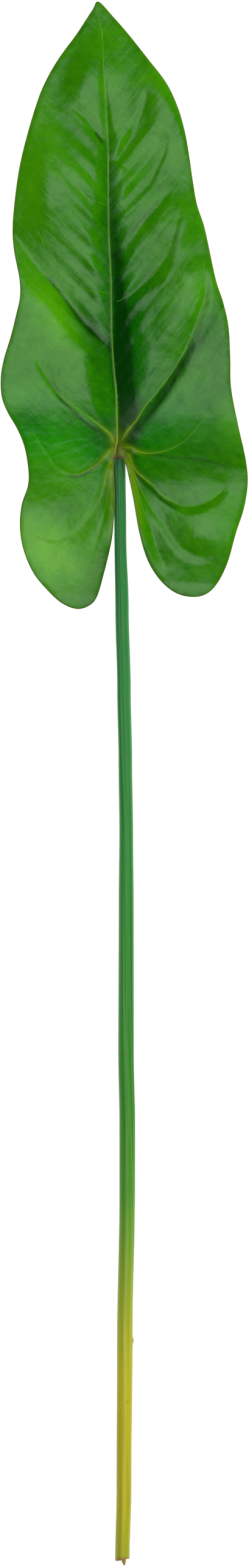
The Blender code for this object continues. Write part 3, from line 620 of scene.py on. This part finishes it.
# %% Shader helpers
class Recipe:
    """A material's node tree, with short ways to add and join nodes."""

    def __init__(self, name):
        self.material = bpy.data.materials.new(name)
        self.material.use_nodes = True
        self.tree = self.material.node_tree
        self.surface = self.tree.nodes["Principled BSDF"]
        self.place = self.tree.nodes.new("ShaderNodeTexCoord").outputs["Object"]

    def put(self, value, socket):
        if isinstance(value, bpy.types.NodeSocket):
            self.tree.links.new(value, socket)
        elif isinstance(value, tuple) and len(value) == 3 and socket.type == "RGBA":
            socket.default_value = (*value, 1)
        else:
            socket.default_value = value

    def mark(self, name, output="Fac"):
        node = self.tree.nodes.new("ShaderNodeAttribute")
        node.attribute_name = name
        return node.outputs[output]

    def sum(self, operation, a, b):
        node = self.tree.nodes.new("ShaderNodeMath")
        node.operation = operation
        self.put(a, node.inputs[0])
        self.put(b, node.inputs[1])
        return node.outputs[0]

    def total(self, *parts):
        """The sum of parts, each a value or a pair of a value and its weight."""
        found = 0.0
        for part in parts:
            if isinstance(part, tuple):
                part = self.sum("MULTIPLY", *part)
            found = self.sum("ADD", part, found)
        return found

    def spread(self, value, low, high, to_low=0.0, to_high=1.0):
        node = self.tree.nodes.new("ShaderNodeMapRange")
        node.interpolation_type = "SMOOTHSTEP"
        for socket, given in zip(node.inputs[:5], (value, low, high, to_low, to_high)):
            self.put(given, socket)
        return node.outputs[0]

    def blend(self, share, a, b):
        """Between two values."""
        node = self.tree.nodes.new("ShaderNodeMix")
        for socket, given in zip((node.inputs[0], node.inputs[2], node.inputs[3]), (share, a, b)):
            self.put(given, socket)
        return node.outputs[0]

    def mix(self, share, a, b, blend="MIX"):
        """Between two colours."""
        node = self.tree.nodes.new("ShaderNodeMix")
        node.data_type = "RGBA"
        node.blend_type = blend
        self.put(share, node.inputs[0])
        self.put(a, node.inputs[6])
        self.put(b, node.inputs[7])
        return node.outputs[2]

    def stretched(self, scale, place=None):
        node = self.tree.nodes.new("ShaderNodeMapping")
        node.inputs["Scale"].default_value = scale
        self.put(place or self.place, node.inputs["Vector"])
        return node.outputs[0]

    def noise(self, scale, detail, at=None):
        """A cloudy pattern about 0, from -1 to 1."""
        node = self.tree.nodes.new("ShaderNodeTexNoise")
        node.inputs["Scale"].default_value = scale
        node.inputs["Detail"].default_value = detail
        self.put(at or self.place, node.inputs["Vector"])
        return self.total((node.outputs["Fac"], 2.0), -1.0)

    def ramp(self, value, stops):
        node = self.tree.nodes.new("ShaderNodeValToRGB")
        first, last = node.color_ramp.elements
        first.position, last.position = stops[0][0], stops[-1][0]
        first.color, last.color = (*stops[0][1], 1), (*stops[-1][1], 1)
        for place, colour in stops[1:-1]:
            node.color_ramp.elements.new(place).color = (*colour, 1)
        self.put(value, node.inputs[0])
        return node.outputs[0]

    def bump(self, height, distance, strength, under=None):
        node = self.tree.nodes.new("ShaderNodeBump")
        node.inputs["Distance"].default_value = distance
        node.inputs["Strength"].default_value = strength
        self.put(height, node.inputs["Height"])
        if under:
            self.put(under, node.inputs["Normal"])
        return node.outputs[0]

    def finish(self, colour, roughness, normal, specular):
        self.put(colour, self.surface.inputs["Base Color"])
        self.put(roughness, self.surface.inputs["Roughness"])
        self.put(normal, self.surface.inputs["Normal"])
        self.surface.inputs["Specular IOR Level"].default_value = specular
        return self.material


# %% [markdown]
# The blade is a deep saturated green that clouds into a yellower one where it grew lighter, and turns olive
# where the veins gather at the hub. Painted shade darkens it in the troughs beside the midrib and the veins
# and along the folds, and a painted shadow marks the opening where the stem goes in under the hub. Its edge
# is a thin brown line. The underside is paler and duller. A waxy skin gives the gloss: low wrinkles that
# follow the ribs and shallow dents break it into streaks, and a fine pebble grain softens it.

# %% Finish of the blade
GREENS = [(0.0, (0.002, 0.065, 0.000)), (0.3, (0.022, 0.215, 0.000)), (0.5, (0.050, 0.330, 0.000)),
          (0.75, (0.090, 0.460, 0.000)), (1.0, (0.160, 0.600, 0.000))]
YELLOWLESS = (0.25, 1.0, 1.0)
HUB_OLIVE = (0.190, 0.240, 0.003)
BAND_GREEN = (0.260, 0.470, 0.005)
MOUTH_SHADOW_BROWN = (0.085, 0.045, 0.008)
EDGE_BROWN = (0.150, 0.120, 0.020)
CREASE_SHADE_COLOUR = (0.006, 0.040, 0.001)
UNDER_GREEN = (0.100, 0.300, 0.050)


def streaks(r, scale, squeeze, detail):
    """Noise drawn out along the ribs above the hub, and along the veins of the lobes below it."""
    ribwise = r.noise(scale, detail, r.stretched((1, squeeze, 1), r.mark("ribwise", "Vector")))
    lobewise = r.noise(scale, detail, r.stretched((1, squeeze, 1), r.mark("lobewise", "Vector")))
    return r.blend(r.mark("lobe"), ribwise, lobewise)


def blade_finish():
    r = Recipe("leaf_green")
    broad_streaks, fine_streaks = streaks(r, 120, 0.25, 3), streaks(r, 420, 0.12, 2)
    # The tone holds the leaf's own patches and noise, and the painted shade of the troughs.
    tone = r.total(0.5, r.mark("shade"), (r.noise(45, 3), 0.18), (r.noise(190, 3), 0.14),
                   (broad_streaks, 0.05), (fine_streaks, 0.06), (r.noise(600, 2), 0.08))
    colour = r.ramp(tone, GREENS)
    colour = r.mix(r.mark("lush"), colour, YELLOWLESS, "MULTIPLY")
    colour = r.mix(r.mark("bands"), colour, BAND_GREEN)
    colour = r.mix(r.mark("hub"), colour, HUB_OLIVE)
    # Painted shade along the folds.
    colour = r.mix(r.mark("crease_shade"), colour, CREASE_SHADE_COLOUR)
    # Painted shadow in the opening under the hub.
    colour = r.mix(r.mark("mouth_shadow"), colour, MOUTH_SHADOW_BROWN)
    colour = r.mix(r.sum("MULTIPLY", r.mark("edge"), 0.7), colour, EDGE_BROWN)
    colour = r.mix(r.mark("under"), colour, UNDER_GREEN)
    roughness = r.total(0.23, (r.noise(60, 3), 0.04), (r.mark("under"), 0.25), (r.mark("matt"), 0.25))
    grain = r.bump(r.noise(1500, 2), 0.00003, 0.6)
    wrinkles = r.bump(broad_streaks, 0.00030, 0.7, r.bump(fine_streaks, 0.00003, 0.7, grain))
    dents = r.bump(r.noise(110, 2), 0.00034, 0.8, wrinkles)
    return r.finish(colour, roughness, dents, 0.32)


blade.data.materials.append(blade_finish())
print("leaf_green:", len(blade.data.materials[0].node_tree.nodes), "nodes")

# %% [markdown]
# The veins are pale cords, pressed flat, that lie just in the blade's skin. One Geometry Nodes tree turns any
# set of lines into such cords: it reads a width from each point, sweeps a flattened circle along the line and
# sets the material. The lines are laid on the relief by the same formula that shaped the blade.

# %% A tree that sweeps a cord along lines
def sweep_tree():
    tree = bpy.data.node_groups.new("swept_cords", "GeometryNodeTree")
    tree.interface.new_socket("Lines", in_out="INPUT", socket_type="NodeSocketGeometry")
    tree.interface.new_socket("Sides", in_out="INPUT", socket_type="NodeSocketInt").default_value = 8
    tree.interface.new_socket("Flatness", in_out="INPUT", socket_type="NodeSocketFloat").default_value = 1.0
    tree.interface.new_socket("Finish", in_out="INPUT", socket_type="NodeSocketMaterial")
    tree.interface.new_socket("Cords", in_out="OUTPUT", socket_type="NodeSocketGeometry")
    new, join = tree.nodes.new, tree.links.new
    start, end = new("NodeGroupInput"), new("NodeGroupOutput")
    to_curve = new("GeometryNodeMeshToCurve")
    join(start.outputs["Lines"], to_curve.inputs["Mesh"])
    upright = new("GeometryNodeSetCurveNormal")
    upright.mode = "Z_UP"
    join(to_curve.outputs["Curve"], upright.inputs["Curve"])
    circle = new("GeometryNodeCurvePrimitiveCircle")
    circle.inputs["Radius"].default_value = 1.0
    join(start.outputs["Sides"], circle.inputs["Resolution"])
    # The circle's own Y comes to stand upright on the line, so this presses the cord flat.
    pressed_scale = new("ShaderNodeCombineXYZ")
    pressed_scale.inputs["X"].default_value = pressed_scale.inputs["Z"].default_value = 1.0
    join(start.outputs["Flatness"], pressed_scale.inputs["Y"])
    pressed = new("GeometryNodeTransform")
    join(circle.outputs["Curve"], pressed.inputs["Geometry"])
    join(pressed_scale.outputs["Vector"], pressed.inputs["Scale"])
    width = new("GeometryNodeInputNamedAttribute")
    width.data_type = "FLOAT"
    width.inputs["Name"].default_value = "radius_m"
    swept = new("GeometryNodeCurveToMesh")
    swept.inputs["Fill Caps"].default_value = True
    join(upright.outputs["Curve"], swept.inputs["Curve"])
    join(pressed.outputs["Geometry"], swept.inputs["Profile Curve"])
    join(width.outputs["Attribute"], swept.inputs["Scale"])
    real = new("GeometryNodeRealizeInstances")
    join(swept.outputs["Mesh"], real.inputs["Geometry"])
    dressed = new("GeometryNodeSetMaterial")
    join(real.outputs["Geometry"], dressed.inputs["Geometry"])
    join(start.outputs["Finish"], dressed.inputs["Material"])
    join(dressed.outputs["Geometry"], end.inputs["Cords"])
    return tree


swept_cords = sweep_tree()
cord_inputs = {socket.name: socket.identifier for socket in swept_cords.interface.items_tree}


def sweep(lines, name, sides, finish, flatness=1.0):
    """Lines, each a row of (x, y, z) in metres with a radius in metres, turned into one mesh by the tree."""
    mesh = bpy.data.meshes.new(name + "_lines")
    points, edges, radii = [], [], []
    for line, widths in lines:
        edges += [(len(points) + i, len(points) + i + 1) for i in range(len(line) - 1)]
        points += [tuple(p) for p in line]
        radii += list(widths)
    mesh.from_pydata(points, edges, [])
    write_mark(mesh, "radius_m", np.array(radii))
    guide = placed(name + "_lines", mesh)
    modifier = guide.modifiers.new("sweep", "NODES")
    modifier.node_group = swept_cords
    modifier[cord_inputs["Sides"]] = sides
    modifier[cord_inputs["Flatness"]] = flatness
    modifier[cord_inputs["Finish"]] = finish
    graph = bpy.context.evaluated_depsgraph_get()
    result = bpy.data.meshes.new_from_object(guide.evaluated_get(graph), depsgraph=graph)
    bpy.data.objects.remove(guide)
    result.name = name
    result.shade_smooth()
    return placed(name, result)


# %% Lay the veins on the blade
# Which veins show as a pale line, between which shares of their length, and their half width at both ends.
PALE_VEINS = {
    "left basal": (0.0, 0.85, 0.58, 0.18), "left lateral": (0.0, 1.0, 0.52, 0.18),
    "left lobe 1": (0.0, 1.0, 0.46, 0.18), "left lobe 2": (0.0, 1.0, 0.34, 0.14),
    "left secondary": (0.0, 1.0, 0.20, 0.12), "left upper": (0.0, 0.5, 0.14, 0.08),
    "right basal": (0.0, 1.0, 0.56, 0.16), "right lateral": (0.0, 1.0, 0.52, 0.16),
    "right lobe 1": (0.0, 0.9, 0.50, 0.18), "right lobe 2": (0.0, 0.9, 0.36, 0.12),
    "right lobe 3": (0.0, 0.9, 0.34, 0.10), "right secondary": (0.05, 1.0, 0.20, 0.12),
}
MIDRIB_HALF_WIDTH = [(446, 0.36), (370, 0.54), (300, 0.60), (250, 0.66), (212, 0.80), (199, 0.85), (189, 0.4)]
MIDRIB_ON_HUB = [(-5.0, 194), (-5.4, 189.5)]
VEINS_MEET = np.array([-4.0, 193.5])
HUB_REACH = 16               # veins that start nearer than this run on to where the veins meet
VEIN_STEP = 1.0
VEIN_FLATNESS = 0.5
SUNK = 0.2                   # share of a vein's half width; a flat vein so sunk stays within the blade
NARROWED = ((4, 16), (0.25, 1))  # a vein's share of its width at these distances from the hub's centre
PALE_GREENS = ((0.110, 0.43, 0.003), (0.165, 0.52, 0.004))
HUB_PALE = (0.30, 0.48, 0.010)
HUB_PALE_REACH = (0.035, 0.006)  # metres from the hub's centre: where that colour begins and where it is full


def on_blade(xy, radii):
    _, high = blade_heights(xy, np.abs(nearest(xy, closed_rim)[0]))
    return np.column_stack([xy, high - SUNK * radii]) * MM


def pale_line(path, start, end, first, last):
    to_hub = VEINS_MEET - np.array(path[0])
    if np.hypot(*to_hub) < HUB_REACH:
        path = [tuple(path[0] + 0.5 * to_hub)] + path
    xy = smooth_line(path, VEIN_STEP)
    xy = xy[int(start * len(xy)): int(end * len(xy))]
    radii = np.linspace(first, last, len(xy)) * np.interp(from_hub(xy), *NARROWED)
    return on_blade(xy, radii), radii * MM


def vein_finish():
    r = Recipe("vein_green")
    colour = r.mix(r.spread(r.noise(90, 2), -0.3, 0.3), *PALE_GREENS)
    from_middle = r.tree.nodes.new("ShaderNodeVectorMath")
    from_middle.operation = "DISTANCE"
    r.put(r.place, from_middle.inputs[0])
    r.put((HUB_CENTRE[0] * MM, HUB_CENTRE[1] * MM, HUB_HEIGHT * MM), from_middle.inputs[1])
    colour = r.mix(r.spread(from_middle.outputs["Value"], *HUB_PALE_REACH), colour, HUB_PALE)
    return r.finish(colour, 0.45, r.bump(r.noise(600, 2), 0.00003, 0.4), 0.3)


pale_lines = [pale_line(VEINS[name][0], *sizes) for name, sizes in PALE_VEINS.items()]
midrib_xy = smooth_line(MIDRIB + MIDRIB_ON_HUB, VEIN_STEP)
midrib_radii = eased(midrib_xy[:, 1], MIDRIB_HALF_WIDTH, 1)
pale_lines.append((on_blade(midrib_xy, midrib_radii), midrib_radii * MM))
veins = sweep(pale_lines, "leaf_veins", 8, vein_finish(), VEIN_FLATNESS)
print("veins:", len(veins.data.polygons), "faces in", len(pale_lines), "lines")

# %% [markdown]
# The stem is the same sweep with more sides, pressed in along its channel afterwards. Each vertex finds its
# place round the stem from its own position, so the channel can wind without twisting the mesh. The cut end
# is ragged, with a strip of skin that tore loose.

# %% Build the stem
STEM_SIDES = 72
STEM_STEP = 2.2
# The channel's grooves: degrees from its middle, half width, share of its depth.
GROOVES = [(-24, 8, 0.8), (0, 11, 1.0), (26, 9, 0.7)]
BUMP_AT = (-320.0, 0.0)
BUMP_REACH = (1.6, 13.0)     # millimetres along the stem, degrees round it
BUMP_HEIGHT = 0.7
CUT_SLANT = 0.13
CUT_ROUGHNESS = 0.5
STRIP = [(-441.0, 1.7), (-445.0, 1.5), (-447.5, 1.1), (-449.4, 0.35)]  # place along Y and half width
STRIP_X = -0.8
STRIP_LEAN = 0.25            # how far to the right each next place lies
STRIP_HEIGHT = 1.2           # above the stem's centre
STRIP_FLATNESS = 0.35
STRIP_BROWNS = (-444.5, -447.5)  # the strip turns brown between these places along Y
STRIP_BROWN_SHARE = 0.7
# Colour by share of the stem's length, from the cut end to the hub; the last stop darkens its end under the
# hub, painted shade of the blade over it.
STEM_COLOURS_AND_HUB_SHADE = [
    (0.00, (0.560, 0.620, 0.016)), (0.06, (0.740, 0.660, 0.016)), (0.12, (0.800, 0.700, 0.020)),
    (0.17, (0.790, 0.740, 0.026)), (0.225, (0.560, 0.660, 0.030)), (0.28, (0.280, 0.540, 0.030)),
    (0.33, (0.120, 0.450, 0.028)), (0.41, (0.070, 0.390, 0.030)), (0.60, (0.056, 0.410, 0.060)),
    (0.83, (0.046, 0.380, 0.080)), (0.94, (0.036, 0.300, 0.062)), (1.00, (0.006, 0.060, 0.012)),
]
FLANK_PAINTED_SHADE = (0.60, 0.62, 0.62)
SCAR_BROWN = (0.20, 0.09, 0.05)
CUT_BROWN = (0.42, 0.20, 0.06)


def stem_finish():
    r = Recipe("stem_skin")
    parts = r.tree.nodes.new("ShaderNodeSeparateXYZ")
    r.put(r.place, parts.inputs[0])
    share = r.spread(r.total(parts.outputs["Y"], (r.noise(14, 2), 0.012)), -0.45, 0.21)
    share.node.interpolation_type = "LINEAR"
    colour = r.ramp(share, STEM_COLOURS_AND_HUB_SHADE)
    # Painted shade: the stem is darkened towards both its sides.
    colour = r.mix(r.mark("flank"), colour, FLANK_PAINTED_SHADE, "MULTIPLY")
    fibres = r.noise(900, 3, r.stretched((1, 0.02, 1)))
    colour = r.mix(r.spread(fibres, -0.3, 0.5, 0.0, 0.22), colour, (0.02, 0.10, 0.02))
    freckles = r.spread(r.noise(260, 3), 0.34, 0.50)
    colour = r.mix(r.sum("MULTIPLY", freckles, 0.4), colour, (0.16, 0.11, 0.03))
    colour = r.mix(r.mark("scar"), colour, SCAR_BROWN)
    colour = r.mix(r.mark("cut"), colour, CUT_BROWN)
    roughness = r.total(0.36, (r.noise(80, 2), 0.05))
    return r.finish(colour, roughness, r.bump(fibres, 0.00004, 0.5), 0.35)


def read_points(mesh):
    co = np.empty(len(mesh.vertices) * 3, np.float32)
    mesh.vertices.foreach_get("co", co)
    return co.reshape(-1, 3)


def write_points(mesh, co):
    mesh.vertices.foreach_set("co", co.astype(np.float32).ravel())
    mesh.update()


def shape_stem(obj):
    """Presses the channel into a round stem, raises its scar and tears its end."""
    co = read_points(obj.data).astype(float) / MM
    y = co[:, 1].copy()
    centre = np.column_stack([eased(y, STEM, 1), stem_height(y)])
    off = co[:, [0, 2]] - centre
    turn = np.degrees(np.arctan2(off[:, 1], off[:, 0]))
    radius = np.maximum(np.hypot(*off.T), 1e-6)
    channel = (turn - eased(y, CHANNEL, 1) + 180) % 360 - 180
    press = sum(share * gauss(channel - at, wide) for at, wide, share in GROOVES)
    rise = gauss(y - BUMP_AT[0], BUMP_REACH[0]) * gauss((turn - BUMP_AT[1] + 180) % 360 - 180, BUMP_REACH[1])
    new_radius = radius - np.where(radius > 1, eased(y, CHANNEL, 2) * press - BUMP_HEIGHT * rise, 0)
    co[:, [0, 2]] = centre + off * (new_radius / radius)[:, None]
    at_cut = y < STEM[-1][0] + 0.5
    ragged = CUT_SLANT * (co[:, 0] - STEM[-1][1]) - CUT_ROUGHNESS * np.sin(2.6 * co[:, 0] + co[:, 2])
    co[:, 1] += np.where(at_cut, ragged, 0)
    write_points(obj.data, co * MM)
    write_mark(obj.data, "scar", rise)
    write_mark(obj.data, "cut", at_cut)
    write_mark(obj.data, "flank", softened(np.abs(off[:, 0]) / radius))


def flatten_strip(obj, height):
    co = read_points(obj.data)
    co[:, 2] = height * MM + (co[:, 2] - height * MM) * STRIP_FLATNESS
    write_points(obj.data, co)
    start, end = STRIP_BROWNS
    write_mark(obj.data, "cut", STRIP_BROWN_SHARE * softened((start - co[:, 1] / MM) / (start - end)))


stem_y = np.linspace(SOCKET_END, STEM[-1][0], round((SOCKET_END - STEM[-1][0]) / STEM_STEP))
stem_line = np.column_stack([eased(stem_y, STEM, 1), stem_y, stem_height(stem_y)]) * MM
stem_skin = stem_finish()
stem = sweep([(stem_line, eased(stem_y, STEM, 2) * MM)], "leaf_stem", STEM_SIDES, stem_skin)
shape_stem(stem)
strip_height = float(stem_height(STRIP[0][0])) + STRIP_HEIGHT
strip_line = np.array([(STRIP_X + STRIP_LEAN * i, y, strip_height) for i, (y, _) in enumerate(STRIP)]) * MM
strip = sweep([(strip_line, [half * MM for _, half in STRIP])], "torn_strip", 16, stem_skin)
flatten_strip(strip, strip_height)
print("stem:", len(stem.data.polygons), "faces, strip:", len(strip.data.polygons))

# %% [markdown]
# Every piece rides on the one body that this leaf has. The blade and the stem
# also stand for their plain solids.

# %% Hand the pieces to the frame
for piece, node, finish in ((blade, "blade", "leaf_blade"), (stem, "stem", "leaf_stem")):
    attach(piece, "root")
    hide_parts(node)
for piece, finish in ((veins, "leaf_blade"), (strip, "leaf_stem")):
    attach(piece, "root")

# %% [markdown]
# The set is a pale table under one very large soft light straight above, beyond the camera. The blade mirrors
# that light where it lies nearly level, and shows its own deep green where it slopes away. Lower lights, the
# stronger one on the right, model the relief. They are kept out of all reflections.

# %% Floor, light and camera
def softbox(name, place, size, radiance):
    """A rectangular light at a place, turned to the middle of the table."""
    light = bpy.data.lights.new(name, "AREA")
    light.shape = "RECTANGLE"
    light.size, light.size_y = size
    light.energy = radiance * math.pi * size[0] * size[1]
    obj = placed(name, light)
    obj.location = place
    obj.rotation_euler = Vector(place).to_track_quat("Z", "Y").to_euler()
    return obj


def floor_finish():
    r = Recipe("pale_table")
    colour = r.mix(r.spread(r.noise(3, 2), -0.5, 0.5), (0.90, 0.90, 0.90), (0.93, 0.93, 0.93))
    r.surface.inputs["Emission Color"].default_value = (1, 1, 1, 1)
    r.surface.inputs["Emission Strength"].default_value = 0.75
    return r.finish(colour, 0.9, r.bump(r.noise(300, 2), 0.0001, 0.1), 0.1)


FLOOR_HALF = 3.0
corners = [(FLOOR_HALF * x, FLOOR_HALF * y, 0) for x, y in ((-1, -1), (1, -1), (1, 1), (-1, 1))]
floor_mesh = bpy.data.meshes.new("table")
floor_mesh.from_pydata(corners, [], [(0, 1, 2, 3)])
floor_mesh.materials.append(floor_finish())
floor = placed("table", floor_mesh)

# The overhead light is brightest in its middle: half its width for each metre of height, and how bright.
for number, (half_width, radiance) in enumerate([(0.46, 0.80), (0.36, 0.75), (0.27, 0.70), (0.17, 0.60)]):
    height = 8.0 - 0.1 * number
    softbox(f"overhead_softbox_{number}", (0.0, 0.0, height), (2 * half_width * height,) * 2, radiance)
low_lights = [
    softbox("right_softbox", (6.0, 0.5, 1.9), (5.0, 1.4), 11.0),
    softbox("left_softbox", (-6.0, 0.0, 1.6), (5.0, 1.4), 4.0),
    softbox("far_softbox", (0.5, 6.5, 1.8), (4.0, 1.4), 3.5),
]
for light in low_lights:
    light.visible_glossy = False

world = bpy.data.worlds.new("studio")
bpy.context.scene.world = world
world.use_nodes = True
world.node_tree.nodes["Background"].inputs["Color"].default_value = (1, 1, 1, 1)
world.node_tree.nodes["Background"].inputs["Strength"].default_value = 0.02

LENS = 200.0
SENSOR = 36.0
PHOTO_LONG_SIDE = 2576 * 0.35  # pixels, and millimetres of the leaf's own plane to a pixel
LEAF_PLANE = 0.006           # metres
camera_data = bpy.data.cameras.new("camera")
camera_data.lens = LENS
camera_data.sensor_width = SENSOR
camera_data.clip_end = 100
camera = placed("camera", camera_data)
camera.location = (0.0, 0.0, LEAF_PLANE + PHOTO_LONG_SIDE * MM * LENS / SENSOR)
bpy.context.scene.camera = camera
bpy.context.scene.view_settings.view_transform = "Standard"
print("camera at", [round(v, 3) for v in camera.location])
